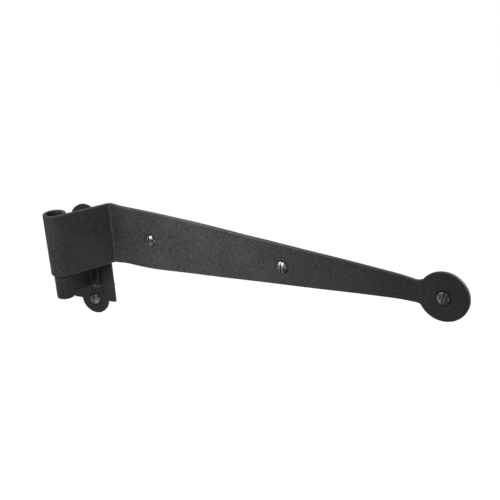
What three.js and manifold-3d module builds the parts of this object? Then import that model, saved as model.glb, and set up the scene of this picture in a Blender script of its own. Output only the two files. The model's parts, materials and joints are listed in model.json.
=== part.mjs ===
// Drop-on strap hinge: a long tapered strap with a rolled barrel hangs on a pintle bracket.
// Millimetres. +Z is up along the pin, +Y points into the wall, +X runs toward the strap's round end.
// The origin is the centre of the base plate's back face. The strap is drawn standing a little open.
import * as THREE from "three";
import { mergeVertices } from "three/addons/utils/BufferGeometryUtils.js";
import Module from "manifold-3d";

// Stock
const STRAP_T = 3.2; // 1/8 in flat bar, for the strap, the arm and the plate alike
const GAP = 0.3; // between neighbours that touch on the real hinge
const ROUND_STEPS = 40; // facets on a full circle
const SCREW_STEPS = 20;

// Base plate, with a half-round ear above and below
const PLATE_W = 45.4;
const PLATE_H = 82;
const EAR_R = 14.2;
const PLATE_FRONT_Y = -STRAP_T;

// Pin, a little left of the plate's middle so that the closed strap's bend clears the plate's edge
const PIN_X = -1.3;
const PIN_STANDOFF = 40; // pin axis to the plate's front face
const PIN_Y = PLATE_FRONT_Y - PIN_STANDOFF;
const PIN_R = 6.35; // 1/2 in working part
const PIN_SHANK_R = 4.6; // thinner part, driven into the knuckle
const PIN_CHAMFER = 1.6;
const PIN_PEEN = 0.8; // the hammered end below the knuckle

// Bracket knuckle and arm, one strip wrapped round the pin
const KNUCKLE_BORE_R = 4.85;
const KNUCKLE_R = KNUCKLE_BORE_R + STRAP_T;
const KNUCKLE_TOP_Z = 1.8;
const KNUCKLE_BOTTOM_Z = -19.2;
const ARM_FLARE = 4.5; // how much further the arm reaches, up and down, at the plate
const WRAP_R = 3; // outside radius where the legs leave the knuckle
const LEG_IN_X = GAP / 2;
const LEG_OUT_X = LEG_IN_X + STRAP_T;
const FOOT_BEND_R = 1.5;
const FOOT_END_X = 10.6;
const WELD_LEG = 4.2;
const WELD_SIDE_INSET = 0.6;

// Washer
const WASHER_T = 1.1;
const WASHER_R = 7.4;
const WASHER_BORE_R = PIN_R + GAP;

// Strap: barrel, offset section, bend, tapered blade and round end
const STRAP_H = 57;
const STRAP_BOTTOM_Z = 3.5;
const STRAP_MID_Z = STRAP_BOTTOM_Z + STRAP_H / 2;
const BARREL_BORE_R = 6.95;
const BARREL_R = BARREL_BORE_R + STRAP_T;
const BEND_DEG = 67.25; // how far the blade turns away from the offset section
const BEND_R = 2.5; // inside the bend
const ROLL_END_DEG = 40; // the rolled end stops this far short of lying along the offset section
const REST_DEG = 9; // the strap stands this far open
const DISC_FROM_BEND = 310.2;
const DISC_R = 19.3;
const NECK_RUN = 2.5; // the neck runs on this far before it turns up the round end
const NECK_LIFT = 1.3;
// Blade edges: distance from the bend, and how far the edge is above or below the middle line
const BLADE_TOP = [
  [14, 27.4],
  [45, 26.6],
  [97, 24],
  [184, 18.1],
  [266, 12.3],
  [289, 9.5],
];
const BLADE_BOTTOM = [
  [14, 27.4],
  [48, 27],
  [95, 23.2],
  [184, 15.8],
  [266, 9],
  [289.5, 8.3],
];
const PIN_BELOW_RIM = 8;

// Screws: slotted, oval head
const SCREW_HEAD_R = 5;
const SCREW_PROUD = 0.5; // the head's rim stands this far out of the metal
const SCREW_DOME = 1.5;
const SCREW_SHANK_R = 2.4;
const SCREW_POINT = 7;
const COUNTERSINK_R = 5.7;
const COUNTERSINK_HALF_DEG = 41;
const SCREW_HOLE_R = 3.1;
const SLOT_W = 1.2;
const SLOT_DEPTH = 1.7;
const BRACKET_SCREW_L = 38;
const STRAP_SCREW_L = 25;

const rad = THREE.MathUtils.degToRad;
const wasm = await Module();
wasm.setup();

// ---- from three.js geometry to a closed solid and back ----

function solid(geometry) {
  const bare = geometry.clone();
  bare.deleteAttribute("normal");
  bare.deleteAttribute("uv");
  const merged = mergeVertices(bare, 1e-4);
  return new wasm.Manifold(
    new wasm.Mesh({
      numProp: 3,
      vertProperties: new Float32Array(merged.attributes.position.array),
      triVerts: new Uint32Array(merged.index.array),
    }),
  );
}

function geometryOf(body) {
  const mesh = body.getMesh();
  const geometry = new THREE.BufferGeometry();
  geometry.setAttribute("position", new THREE.BufferAttribute(mesh.vertProperties, 3));
  geometry.setIndex(new THREE.BufferAttribute(mesh.triVerts, 1));
  geometry.computeVertexNormals();
  return geometry;
}

// Points along an arc, both ends included, as many as its angle needs.
function arc(x, y, r, from, to) {
  const steps = Math.max(2, Math.ceil((Math.abs(to - from) / (2 * Math.PI)) * ROUND_STEPS));
  const points = [];
  for (let i = 0; i <= steps; i++) {
    const a = from + ((to - from) * i) / steps;
    points.push(new THREE.Vector2(x + r * Math.cos(a), y + r * Math.sin(a)));
  }
  return points;
}

function point(x, y) {
  return new THREE.Vector2(x, y);
}

function extrude(points, depth) {
  return new THREE.ExtrudeGeometry(new THREE.Shape(points), { depth, bevelEnabled: false });
}

// An outline drawn as (x, z), given thickness along y from y0 to y0 + depth.
function extrudeAlongY(points, y0, depth) {
  return extrude(points, depth)
    .rotateX(Math.PI / 2)
    .translate(0, y0 + depth, 0);
}

// An outline drawn as (y, z), given thickness along x from x0 to x0 + depth.
function extrudeAlongX(points, x0, depth) {
  return extrude(points, depth)
    .rotateX(Math.PI / 2)
    .rotateZ(Math.PI / 2)
    .translate(x0, 0, 0);
}

// A turned profile whose axis points out of the metal, along -Y.
function turnedAlongY(points) {
  return new THREE.LatheGeometry(points, SCREW_STEPS).rotateX(Math.PI);
}

// ---- materials ----

const coated = (color) => new THREE.MeshStandardMaterial({ color, roughness: 0.6, metalness: 0.2 });
const plated = (color) => new THREE.MeshStandardMaterial({ color, roughness: 0.4, metalness: 0.8 });

// ---- screws and their holes ----

// Drawn with the head's rim at y = 0 and the point toward +Y.
function screwBody(length, slotDeg) {
  const coneDepth = (SCREW_HEAD_R - SCREW_SHANK_R) / Math.tan(rad(COUNTERSINK_HALF_DEG));
  const domeR = (SCREW_HEAD_R ** 2 + SCREW_DOME ** 2) / (2 * SCREW_DOME);
  const domeHalf = Math.asin(SCREW_HEAD_R / domeR);
  const profile = [
    point(0, -length),
    point(SCREW_SHANK_R, -(length - SCREW_POINT)),
    point(SCREW_SHANK_R, -coneDepth),
  ];
  const domeSteps = 3;
  for (let i = 0; i < domeSteps; i++) {
    const a = domeHalf * (1 - i / domeSteps);
    profile.push(point(domeR * Math.sin(a), SCREW_DOME - domeR * (1 - Math.cos(a))));
  }
  profile.push(point(0, SCREW_DOME));
  const slot = new THREE.BoxGeometry(SLOT_W, 2 * SLOT_DEPTH, 3 * SCREW_HEAD_R)
    .rotateY(rad(slotDeg))
    .translate(0, -SCREW_DOME, 0);
  return solid(turnedAlongY(profile)).subtract(solid(slot));
}

// The countersunk hole that takes it, open at both faces of the flat bar.
function screwHoleCutter() {
  const past = 1;
  const coneDepth = (COUNTERSINK_R - SCREW_HOLE_R) / Math.tan(rad(COUNTERSINK_HALF_DEG));
  return turnedAlongY([
    point(0, -(STRAP_T + past)),
    point(SCREW_HOLE_R, -(STRAP_T + past)),
    point(SCREW_HOLE_R, -coneDepth),
    point(COUNTERSINK_R, 0),
    point(COUNTERSINK_R, past),
    point(0, past),
  ]);
}

function drill(body, x, y, z) {
  return body.subtract(solid(screwHoleCutter().translate(x, y, z)));
}

// ---- wall bracket ----

function basePlate() {
  const w = PLATE_W / 2;
  const h = PLATE_H / 2;
  const outline = [
    point(-w, -h),
    ...arc(0, -h, EAR_R, Math.PI, 2 * Math.PI),
    point(w, -h),
    point(w, h),
    ...arc(0, h, EAR_R, 0, Math.PI),
    point(-w, h),
  ];
  let body = solid(extrudeAlongY(outline, PLATE_FRONT_Y, STRAP_T));
  body = drill(body, 0, PLATE_FRONT_Y, h);
  return drill(body, 0, PLATE_FRONT_Y, -h);
}

function mirrored(points) {
  return points.map((p) => point(-p.x, p.y)).reverse();
}

// The wrapped strip in plan, with the pin axis at (0, 0) and the plate toward +y.
function wrappedStripPlan() {
  const wrapX = LEG_OUT_X + WRAP_R;
  const wrapY = Math.sqrt((KNUCKLE_R + WRAP_R) ** 2 - wrapX ** 2);
  const wrap = Math.atan2(wrapY, wrapX);
  const footBack = PIN_STANDOFF - GAP;
  const bendX = LEG_OUT_X + FOOT_BEND_R;
  const bendY = footBack - STRAP_T - FOOT_BEND_R;
  const down = -Math.PI / 2;
  // the right half: outside from the knuckle's front to the foot, then back along the inside
  const outside = [
    ...arc(0, 0, KNUCKLE_R, down, wrap),
    ...arc(wrapX, wrapY, WRAP_R, Math.PI + wrap, Math.PI).slice(1),
    ...arc(bendX, bendY, FOOT_BEND_R, Math.PI, Math.PI / 2),
    point(FOOT_END_X, footBack - STRAP_T),
    point(FOOT_END_X, footBack),
  ];
  const inside = [
    ...arc(bendX, bendY, FOOT_BEND_R + STRAP_T, Math.PI / 2, Math.PI),
    ...arc(wrapX, wrapY, WRAP_R + STRAP_T, Math.PI, Math.PI + wrap),
    ...arc(0, 0, KNUCKLE_BORE_R, wrap, down).slice(1),
  ];
  return [...outside, ...inside, ...mirrored(inside).slice(1), ...mirrored(outside).slice(0, -1)];
}

// The arm seen from the side, as (y, z): level at the knuckle, flaring toward the plate.
function armSideOutline() {
  const flareY = PIN_Y + KNUCKLE_R + 2;
  const footY = PLATE_FRONT_Y - GAP - STRAP_T;
  const front = PIN_Y - KNUCKLE_R - 1;
  return [
    point(front, KNUCKLE_BOTTOM_Z),
    point(flareY, KNUCKLE_BOTTOM_Z),
    point(footY, KNUCKLE_BOTTOM_Z - ARM_FLARE),
    point(0, KNUCKLE_BOTTOM_Z - ARM_FLARE),
    point(0, KNUCKLE_TOP_Z + ARM_FLARE),
    point(footY, KNUCKLE_TOP_Z + ARM_FLARE),
    point(flareY, KNUCKLE_TOP_Z),
    point(front, KNUCKLE_TOP_Z),
  ];
}

function bracketArm() {
  const past = 1;
  const bottom = KNUCKLE_BOTTOM_Z - ARM_FLARE - past;
  const tall = KNUCKLE_TOP_Z + ARM_FLARE + past - bottom;
  const strip = extrude(wrappedStripPlan(), tall).translate(0, PIN_Y, bottom);
  const reach = FOOT_END_X + past;
  return solid(strip).intersect(solid(extrudeAlongX(armSideOutline(), -reach, 2 * reach)));
}

// A fillet weld across the end of a foot. sideX is 1 on the right, endZ is 1 above.
function footWeld(sideX, endZ) {
  const inner = LEG_OUT_X + FOOT_BEND_R + WELD_SIDE_INSET;
  const outer = FOOT_END_X - WELD_SIDE_INSET;
  const footEnd = endZ > 0 ? KNUCKLE_TOP_Z + ARM_FLARE : KNUCKLE_BOTTOM_Z - ARM_FLARE;
  const rootZ = footEnd + endZ * GAP;
  const rootY = PLATE_FRONT_Y - GAP;
  const throat = arc(0, 0, 1, Math.PI, Math.PI / 2).map((p) => {
    return point(rootY + p.x * STRAP_T, rootZ + endZ * p.y * WELD_LEG);
  });
  const x0 = sideX > 0 ? inner : -outer;
  const bead = [point(rootY, rootZ), ...throat];
  return solid(extrudeAlongX(bead, x0, outer - inner));
}

function pintlePin() {
  const top = STRAP_BOTTOM_Z + STRAP_H - PIN_BELOW_RIM;
  const shoulder = KNUCKLE_TOP_Z + GAP;
  const profile = [
    point(0, KNUCKLE_BOTTOM_Z - PIN_PEEN),
    point(PIN_SHANK_R - PIN_PEEN, KNUCKLE_BOTTOM_Z - PIN_PEEN),
    point(PIN_SHANK_R, KNUCKLE_BOTTOM_Z),
    point(PIN_SHANK_R, shoulder),
    point(PIN_R, shoulder),
    point(PIN_R, top - PIN_CHAMFER),
    point(PIN_R - PIN_CHAMFER, top),
    point(0, top),
  ];
  const turned = new THREE.LatheGeometry(profile, ROUND_STEPS).rotateX(Math.PI / 2);
  return solid(turned.translate(0, PIN_Y, 0));
}

function thrustWasher() {
  const room = STRAP_BOTTOM_Z - KNUCKLE_TOP_Z;
  const z0 = KNUCKLE_TOP_Z + (room - WASHER_T) / 2;
  const z1 = z0 + WASHER_T;
  const section = [
    point(WASHER_BORE_R, z0),
    point(WASHER_R, z0),
    point(WASHER_R, z1),
    point(WASHER_BORE_R, z1),
    point(WASHER_BORE_R, z0),
  ];
  const ring = new THREE.LatheGeometry(section, ROUND_STEPS).rotateX(Math.PI / 2);
  return solid(ring.translate(0, PIN_Y, 0));
}

// ---- strap, drawn closed: its blade is in the base plate's own plane ----

const bend = rad(BEND_DEG);
// The front faces of offset section and blade would meet here, measured from the pin axis.
const OFFSET_RUN = (PIN_STANDOFF + BARREL_R * Math.cos(bend)) / Math.sin(bend);
const BEND_X = OFFSET_RUN * Math.cos(bend) + BARREL_R * Math.sin(bend);
const DISC_X = BEND_X + DISC_FROM_BEND;

// The bar in plan, with the pin axis at (0, 0): blade, bend, offset section, rolled barrel.
function strapPlan() {
  const past = DISC_X + 2 * DISC_R;
  const turn = BEND_R * Math.tan(bend / 2); // from the sharp corner back to where the bend starts
  const centreX = BEND_X + turn;
  const centreY = PIN_STANDOFF - BEND_R;
  const facing = bend - Math.PI / 2; // the way the offset section's front face looks
  const rollEnd = bend - rad(ROLL_END_DEG) - 2 * Math.PI;
  return [
    point(past, PIN_STANDOFF),
    ...arc(centreX, centreY, BEND_R, Math.PI / 2, Math.PI + facing),
    ...arc(0, 0, BARREL_R, facing, rollEnd),
    ...arc(0, 0, BARREL_BORE_R, rollEnd, facing),
    ...arc(centreX, centreY, BEND_R + STRAP_T, Math.PI + facing, Math.PI / 2),
    point(past, PIN_STANDOFF + STRAP_T),
  ];
}

// One long edge of the blade as a smooth curve, side 1 above and -1 below.
function bladeEdge(stations, side) {
  const steps = 18;
  const through = stations.map(([u, half]) => point(BEND_X + u, side * half));
  return new THREE.SplineCurve(through).getPoints(steps);
}

// From the neck into the round end, along a small hollow curve.
function neckCurve(neck, side) {
  const steps = 4;
  const lift = Math.abs(neck.y) + NECK_LIFT;
  const meets = point(DISC_X - Math.sqrt(DISC_R ** 2 - lift ** 2), side * lift);
  const turnsAt = point(neck.x + NECK_RUN, neck.y);
  return new THREE.QuadraticBezierCurve(neck, turnsAt, meets).getPoints(steps);
}

// The strap seen square on, with z measured from its middle line.
function strapOutline() {
  const half = STRAP_H / 2;
  const before = -2 * BARREL_R;
  const lower = bladeEdge(BLADE_BOTTOM, -1);
  const upper = bladeEdge(BLADE_TOP, 1);
  const lowerNeck = neckCurve(lower.at(-1), -1);
  const upperNeck = neckCurve(upper.at(-1), 1);
  const from = Math.atan2(lowerNeck.at(-1).y, lowerNeck.at(-1).x - DISC_X);
  const to = Math.atan2(upperNeck.at(-1).y, upperNeck.at(-1).x - DISC_X);
  return [
    point(before, -half),
    point(BEND_X - BEND_R, -half),
    ...lower,
    ...lowerNeck.slice(1, -1),
    ...arc(DISC_X, 0, DISC_R, from, to),
    ...upperNeck.slice(1, -1).reverse(),
    ...upper.reverse(),
    point(BEND_X - BEND_R, half),
    point(before, half),
  ];
}

// Where the strap's screws sit: distance along X and height off the middle line.
const STRAP_SCREWS = [
  { name: "strap_screw_bend", x: BEND_X + 43.3, z: 0, slotDeg: 8 },
  { name: "strap_screw_middle", x: BEND_X + 177.3, z: -1.1, slotDeg: 4 },
  { name: "strap_screw_end", x: BEND_X + 310.2, z: -0.4, slotDeg: 14 },
];

function strapLeaf() {
  const bar = solid(extrude(strapPlan(), STRAP_H).translate(0, PIN_Y, -STRAP_H / 2));
  const reach = 4 * PIN_STANDOFF;
  const face = solid(extrudeAlongY(strapOutline(), -reach / 2 + PIN_Y / 2, reach));
  let leaf = bar.intersect(face).translate([0, 0, STRAP_MID_Z]);
  for (const screw of STRAP_SCREWS) {
    leaf = drill(leaf, screw.x, PLATE_FRONT_Y, STRAP_MID_Z + screw.z);
  }
  return leaf;
}

// ---- assembly ----

const hinge = new THREE.Group();

function add(parent, name, body, material, x = 0, y = 0, z = 0) {
  const mesh = new THREE.Mesh(geometryOf(body), material);
  mesh.name = name;
  mesh.position.set(x, y, z);
  parent.add(mesh);
}

const bracket = new THREE.Group();
const pintle = new THREE.Group();
pintle.position.x = PIN_X;
hinge.add(bracket, pintle);
add(bracket, "base_plate", basePlate(), coated(0x17181a));
add(pintle, "bracket_arm", bracketArm(), coated(0x17181a));
add(pintle, "pintle_pin", pintlePin(), plated(0x55575a));
add(pintle, "thrust_washer", thrustWasher(), plated(0x4a4b4d));
for (const [side, sideX] of [["right", 1], ["left", -1]]) {
  for (const [end, endZ] of [["upper", 1], ["lower", -1]]) {
    add(pintle, `weld_${side}_${end}`, footWeld(sideX, endZ), coated(0x1b1c1e));
  }
}
for (const [end, endZ, slotDeg] of [["upper", 1, 12], ["lower", -1, 5]]) {
  const z = (endZ * PLATE_H) / 2;
  const screw = screwBody(BRACKET_SCREW_L, slotDeg);
  const y = PLATE_FRONT_Y - SCREW_PROUD;
  add(bracket, `bracket_screw_${end}`, screw, plated(0x2a2b2d), 0, y, z);
}

// The strap turns about the pin, so its group's origin is on the pin axis.
const strap = new THREE.Group();
strap.position.set(PIN_X, PIN_Y, 0);
strap.rotation.z = -rad(REST_DEG);
hinge.add(strap);
const closedStrap = new THREE.Group();
closedStrap.position.set(0, -PIN_Y, 0);
strap.add(closedStrap);
add(closedStrap, "strap_leaf", strapLeaf(), coated(0x17181a));
for (const screw of STRAP_SCREWS) {
  const body = screwBody(STRAP_SCREW_L, screw.slotDeg);
  const y = PLATE_FRONT_Y - SCREW_PROUD;
  const z = STRAP_MID_Z + screw.z;
  add(closedStrap, screw.name, body, plated(0x2a2b2d), screw.x, y, z);
}

export default hinge;
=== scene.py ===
"""Looks for a drop-on strap hinge: a long strap with a rolled barrel, hung on a pintle bracket.

Metres, +Z up along the pin, +Y into the wall, +X toward the strap's round end.
"""

import json
import math

import bmesh
import bpy
from mathutils import Matrix, Vector


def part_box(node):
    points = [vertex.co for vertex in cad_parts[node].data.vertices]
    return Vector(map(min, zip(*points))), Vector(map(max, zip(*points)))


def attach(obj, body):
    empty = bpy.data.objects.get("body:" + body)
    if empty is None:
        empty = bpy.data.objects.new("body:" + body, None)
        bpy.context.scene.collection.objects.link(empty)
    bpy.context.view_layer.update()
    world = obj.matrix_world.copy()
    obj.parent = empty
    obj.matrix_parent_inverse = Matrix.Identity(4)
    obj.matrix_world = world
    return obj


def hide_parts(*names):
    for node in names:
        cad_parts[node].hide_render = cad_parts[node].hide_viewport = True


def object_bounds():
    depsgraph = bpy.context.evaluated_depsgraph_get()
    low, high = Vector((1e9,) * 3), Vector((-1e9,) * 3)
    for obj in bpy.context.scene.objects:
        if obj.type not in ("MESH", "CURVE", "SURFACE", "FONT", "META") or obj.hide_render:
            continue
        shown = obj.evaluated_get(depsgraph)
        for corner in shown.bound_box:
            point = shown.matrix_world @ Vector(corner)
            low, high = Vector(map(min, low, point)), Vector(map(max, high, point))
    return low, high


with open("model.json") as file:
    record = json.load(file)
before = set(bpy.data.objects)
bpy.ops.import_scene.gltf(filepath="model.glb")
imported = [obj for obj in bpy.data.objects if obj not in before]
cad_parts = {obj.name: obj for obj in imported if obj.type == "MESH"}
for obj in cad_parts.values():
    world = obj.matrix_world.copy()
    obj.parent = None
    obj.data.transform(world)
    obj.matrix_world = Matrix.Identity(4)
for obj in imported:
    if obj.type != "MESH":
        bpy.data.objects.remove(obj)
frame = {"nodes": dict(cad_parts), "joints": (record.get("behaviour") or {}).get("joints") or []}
cad_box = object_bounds()

# ---- Base plate ----
# The wall plate is a rectangle of 1/8 in flat bar with a half-round ear above and below.
# It is sheared and punched from hot-rolled steel, its edges are eased with a file, and
# the whole bracket is then powder coated in satin black.

MM = 0.001
EAR_R = 14.2 * MM
PLATE_EASE = 0.45 * MM
COUNTERSINK_R = 5.7 * MM
COUNTERSINK_ANGLE = math.radians(41)
COUNTERSINK_LIP = 0.25 * MM
SCREW_HOLE_R = 3.1 * MM
SCREW_PROUD = 0.5 * MM  # the screw head's rim stands this far out of the metal
SCREW_DOME = 1.5 * MM
ROUND_STEP = math.radians(4)


def linear(hex_colour):
    """An sRGB hex colour as the linear colour that a shader takes."""
    channels = [int(hex_colour[i : i + 2], 16) / 255 for i in (1, 3, 5)]
    return (*[c / 12.92 if c <= 0.04045 else ((c + 0.055) / 1.055) ** 2.4 for c in channels], 1)


def add_node(tree, kind, inputs=None, **settings):
    """Adds a node with its settings, and sets or links its inputs by name or number."""
    made = tree.nodes.new(kind)
    for name, value in settings.items():
        setattr(made, name, value)
    for key, value in (inputs or {}).items():
        if isinstance(value, bpy.types.NodeSocket):
            tree.links.new(value, made.inputs[key])
        else:
            made.inputs[key].default_value = value
    return made


def satin_powder_coat(name, dark, light, thin_rim_highlight, roughness):
    """Satin black powder coat, sprayed dry and baked on bead-blasted steel.

    It flows to a soft leathery skin with a fine grit, so highlights are broad and a little broken.
    Along an edge that a piece marks as its rim, the coat is thinner, and it is drawn a shade
    lighter there as a painted edge highlight.
    The real grit is about 0.3 mm. It is drawn at 1.6 mm, because finer grit doesn't show.
    """
    grit_size = 1.6 * MM
    skin_size = 4 * MM
    cloud_size = 28 * MM
    grit_height = 0.06 * MM
    material = bpy.data.materials.new(name)
    material.use_nodes = True
    tree = material.node_tree
    tree.nodes.clear()
    place = add_node(tree, "ShaderNodeTexCoord").outputs["Object"]
    grit = add_node(
        tree,
        "ShaderNodeTexNoise",
        {"Vector": place, "Scale": 1 / grit_size, "Detail": 2.0, "Roughness": 0.5},
    ).outputs["Fac"]
    skin = add_node(
        tree,
        "ShaderNodeTexNoise",
        {"Vector": place, "Scale": 1 / skin_size, "Detail": 2.0, "Roughness": 0.5},
    ).outputs["Fac"]
    cloud = add_node(
        tree,
        "ShaderNodeTexNoise",
        {"Vector": place, "Scale": 1 / cloud_size, "Detail": 4.0, "Roughness": 0.6},
    ).outputs["Fac"]
    rim = add_node(tree, "ShaderNodeAttribute", attribute_name="rim").outputs["Fac"]
    fleck = add_node(
        tree, "ShaderNodeMath", {0: grit, 1: 0.7, 2: 0.0}, operation="MULTIPLY_ADD"
    ).outputs[0]
    shade = add_node(
        tree, "ShaderNodeMath", {0: cloud, 1: 0.3, 2: fleck}, operation="MULTIPLY_ADD"
    ).outputs[0]
    spread = add_node(
        tree,
        "ShaderNodeMapRange",
        {"Value": shade, "From Min": 0.38, "From Max": 0.62},
    ).outputs["Result"]
    body = add_node(
        tree, "ShaderNodeMix", {0: spread, 6: linear(dark), 7: linear(light)}, data_type="RGBA"
    ).outputs[2]
    # Along the marked rim the colour is mixed toward a lighter one: a thinner coat, drawn lighter
    # as a painted edge highlight.
    rim_thinning_and_highlight = add_node(
        tree, "ShaderNodeMath", {0: rim, 1: cloud}, operation="MULTIPLY"
    ).outputs[0]
    colour = add_node(
        tree, "ShaderNodeMix", {0: rim_thinning_and_highlight, 6: body, 7: linear(thin_rim_highlight)}, data_type="RGBA"
    ).outputs[2]
    matt = add_node(
        tree,
        "ShaderNodeMapRange",
        {
            "Value": shade,
            "From Min": 0.3,
            "From Max": 0.7,
            "To Min": roughness,
            "To Max": roughness + 0.14,
        },
    ).outputs["Result"]
    relief = add_node(
        tree, "ShaderNodeMath", {0: skin, 1: 1.4, 2: grit}, operation="MULTIPLY_ADD"
    ).outputs[0]
    bump = add_node(
        tree, "ShaderNodeBump", {"Height": relief, "Strength": 1.0, "Distance": grit_height}
    ).outputs["Normal"]
    shader = add_node(
        tree,
        "ShaderNodeBsdfPrincipled",
        {
            "Base Color": colour,
            "Roughness": matt,
            "Normal": bump,
            "IOR": 1.5,
            "Specular IOR Level": 0.16,
        },
    )
    add_node(tree, "ShaderNodeOutputMaterial", {"Surface": shader.outputs["BSDF"]})
    return material


# The bracket's coat is the strap's satin black drawn darker, as painted shade over the bracket.
shaded_bracket_coat = satin_powder_coat(
    "black powder coat, bracket", dark="#0b0b0a", light="#1a1a18", thin_rim_highlight="#2d2d2b", roughness=0.48
)


def arc(x, y, radius, start, end, step=ROUND_STEP):
    """Points along an arc, both ends included. Angles in radians."""
    count = max(2, math.ceil(abs(end - start) / step))
    turns = [start + (end - start) * i / count for i in range(count + 1)]
    return [(x + radius * math.cos(a), y + radius * math.sin(a)) for a in turns]


def new_piece(name, vertices, edges, faces):
    """A new mesh object at the origin, with its place in its mesh."""
    mesh = bpy.data.meshes.new(name)
    mesh.from_pydata([Vector(v) for v in vertices], edges, faces)
    piece = bpy.data.objects.new(name, mesh)
    bpy.context.scene.collection.objects.link(piece)
    return piece


def settle(piece):
    """Turns a piece into the plain mesh that its modifiers make, and takes the modifiers off."""
    graph = bpy.context.evaluated_depsgraph_get()
    mesh = bpy.data.meshes.new_from_object(
        piece.evaluated_get(graph), preserve_all_data_layers=True, depsgraph=graph
    )
    piece.modifiers.clear()
    piece.data = mesh
    mesh.name = piece.name


def face_outwards(piece):
    """Joins doubled points and turns every face outwards."""
    shape = bmesh.new()
    shape.from_mesh(piece.data)
    bmesh.ops.remove_doubles(shape, verts=shape.verts, dist=1e-7)
    bmesh.ops.recalc_face_normals(shape, faces=shape.faces)
    shape.to_mesh(piece.data)
    shape.free()


def smooth(piece, sharp_from):
    """Soft shading, with the flats kept flat and edges of sharp_from degrees or more kept sharp."""
    piece.data.shade_smooth()
    piece.data.set_sharp_from_angle(angle=math.radians(sharp_from))
    weighted = piece.modifiers.new("flats stay flat", "WEIGHTED_NORMAL")
    weighted.keep_sharp = True
    settle(piece)


def new_tree(name, **inputs):
    """An empty Geometry Nodes tree with a Geometry input and output and the named inputs."""
    tree = bpy.data.node_groups.new(name, "GeometryNodeTree")
    tree.interface.new_socket("Geometry", in_out="INPUT", socket_type="NodeSocketGeometry")
    tree.interface.new_socket("Geometry", in_out="OUTPUT", socket_type="NodeSocketGeometry")
    for label, kind in inputs.items():
        shown = label.replace("_", " ")
        tree.interface.new_socket(shown, in_out="INPUT", socket_type=f"NodeSocket{kind}")
    return tree


def shape_with(piece, tree, **values):
    """Adds a Geometry Nodes modifier, and sets its named inputs by their identifiers."""
    modifier = piece.modifiers.new(tree.name, "NODES")
    modifier.node_group = tree
    for item in tree.interface.items_tree:
        label = item.name.replace(" ", "_")
        if item.in_out == "INPUT" and label in values:
            modifier[item.identifier] = values[label]
    return modifier


def end_tree(tree, geometry, material):
    """Ends a tree in Realize Instances and Set Material."""
    real = add_node(tree, "GeometryNodeRealizeInstances", {"Geometry": geometry}).outputs[0]
    coated = add_node(tree, "GeometryNodeSetMaterial", {"Geometry": real, "Material": material})
    add_node(tree, "NodeGroupOutput", {"Geometry": coated.outputs[0]})


def turning_tree():
    """Turns a profile about Z, as a lathe does, with a thread cut between two heights.

    The piece's own mesh is the profile: a chain of points (radius, 0, height), in order.
    """
    tree = new_tree(
        "turned",
        Facets="Int",
        Thread_Pitch="Float",
        Thread_Depth="Float",
        Thread_Bottom="Float",
        Thread_Top="Float",
        Material="Material",
    )
    given = add_node(tree, "NodeGroupInput").outputs
    count = add_node(
        tree, "GeometryNodeAttributeDomainSize", {"Geometry": given["Geometry"]}
    ).outputs["Point Count"]
    around = add_node(
        tree, "ShaderNodeMath", {0: given["Facets"], 1: 1.0}, operation="ADD"
    ).outputs[0]
    grid = add_node(
        tree, "GeometryNodeMeshGrid", {"Vertices X": count, "Vertices Y": around}
    ).outputs["Mesh"]
    index = add_node(tree, "GeometryNodeInputIndex").outputs[0]
    ratio = add_node(tree, "ShaderNodeMath", {0: index, 1: around}, operation="DIVIDE").outputs[0]
    along = add_node(tree, "ShaderNodeMath", {0: ratio}, operation="FLOOR").outputs[0]
    row = add_node(tree, "ShaderNodeMath", {0: index, 1: around}, operation="MODULO").outputs[0]
    turn = add_node(
        tree, "ShaderNodeMath", {0: row, 1: given["Facets"]}, operation="DIVIDE"
    ).outputs[0]
    angle = add_node(
        tree, "ShaderNodeMath", {0: turn, 1: math.tau}, operation="MULTIPLY"
    ).outputs[0]
    here = add_node(tree, "GeometryNodeInputPosition").outputs[0]
    profile = add_node(
        tree,
        "GeometryNodeSampleIndex",
        {"Geometry": given["Geometry"], "Value": here, "Index": along},
        data_type="FLOAT_VECTOR",
        domain="POINT",
    ).outputs["Value"]
    height = add_node(tree, "ShaderNodeSeparateXYZ", {0: profile}).outputs["Z"]
    climb = add_node(
        tree, "ShaderNodeMath", {0: height, 1: given["Thread Pitch"]}, operation="DIVIDE"
    ).outputs[0]
    helix = add_node(tree, "ShaderNodeMath", {0: climb, 1: turn}, operation="SUBTRACT").outputs[0]
    flank = add_node(tree, "ShaderNodeMath", {0: helix, 1: 0.5}, operation="PINGPONG").outputs[0]
    above = add_node(
        tree, "ShaderNodeMath", {0: height, 1: given["Thread Bottom"]}, operation="GREATER_THAN"
    ).outputs[0]
    below = add_node(
        tree, "ShaderNodeMath", {0: height, 1: given["Thread Top"]}, operation="LESS_THAN"
    ).outputs[0]
    threaded = add_node(
        tree, "ShaderNodeMath", {0: above, 1: below}, operation="MULTIPLY"
    ).outputs[0]
    depth = add_node(
        tree, "ShaderNodeMath", {0: given["Thread Depth"], 1: threaded}, operation="MULTIPLY"
    ).outputs[0]
    groove = add_node(tree, "ShaderNodeMath", {0: flank, 1: depth}, operation="MULTIPLY").outputs[0]
    kept = add_node(tree, "ShaderNodeMath", {0: 1.0, 1: groove}, operation="SUBTRACT").outputs[0]
    shrink = add_node(tree, "ShaderNodeCombineXYZ", {0: kept, 1: kept, 2: 1.0}).outputs[0]
    cut = add_node(
        tree, "ShaderNodeVectorMath", {0: profile, 1: shrink}, operation="MULTIPLY"
    ).outputs[0]
    swept = add_node(
        tree, "ShaderNodeVectorRotate", {"Vector": cut, "Angle": angle}, rotation_type="Z_AXIS"
    ).outputs[0]
    placed = add_node(
        tree, "GeometryNodeSetPosition", {"Geometry": grid, "Position": swept}
    ).outputs[0]
    closed = add_node(
        tree, "GeometryNodeMergeByDistance", {"Geometry": placed, "Distance": 1e-6}
    ).outputs[0]
    end_tree(tree, closed, given["Material"])
    return tree


turned = turning_tree()


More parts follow.
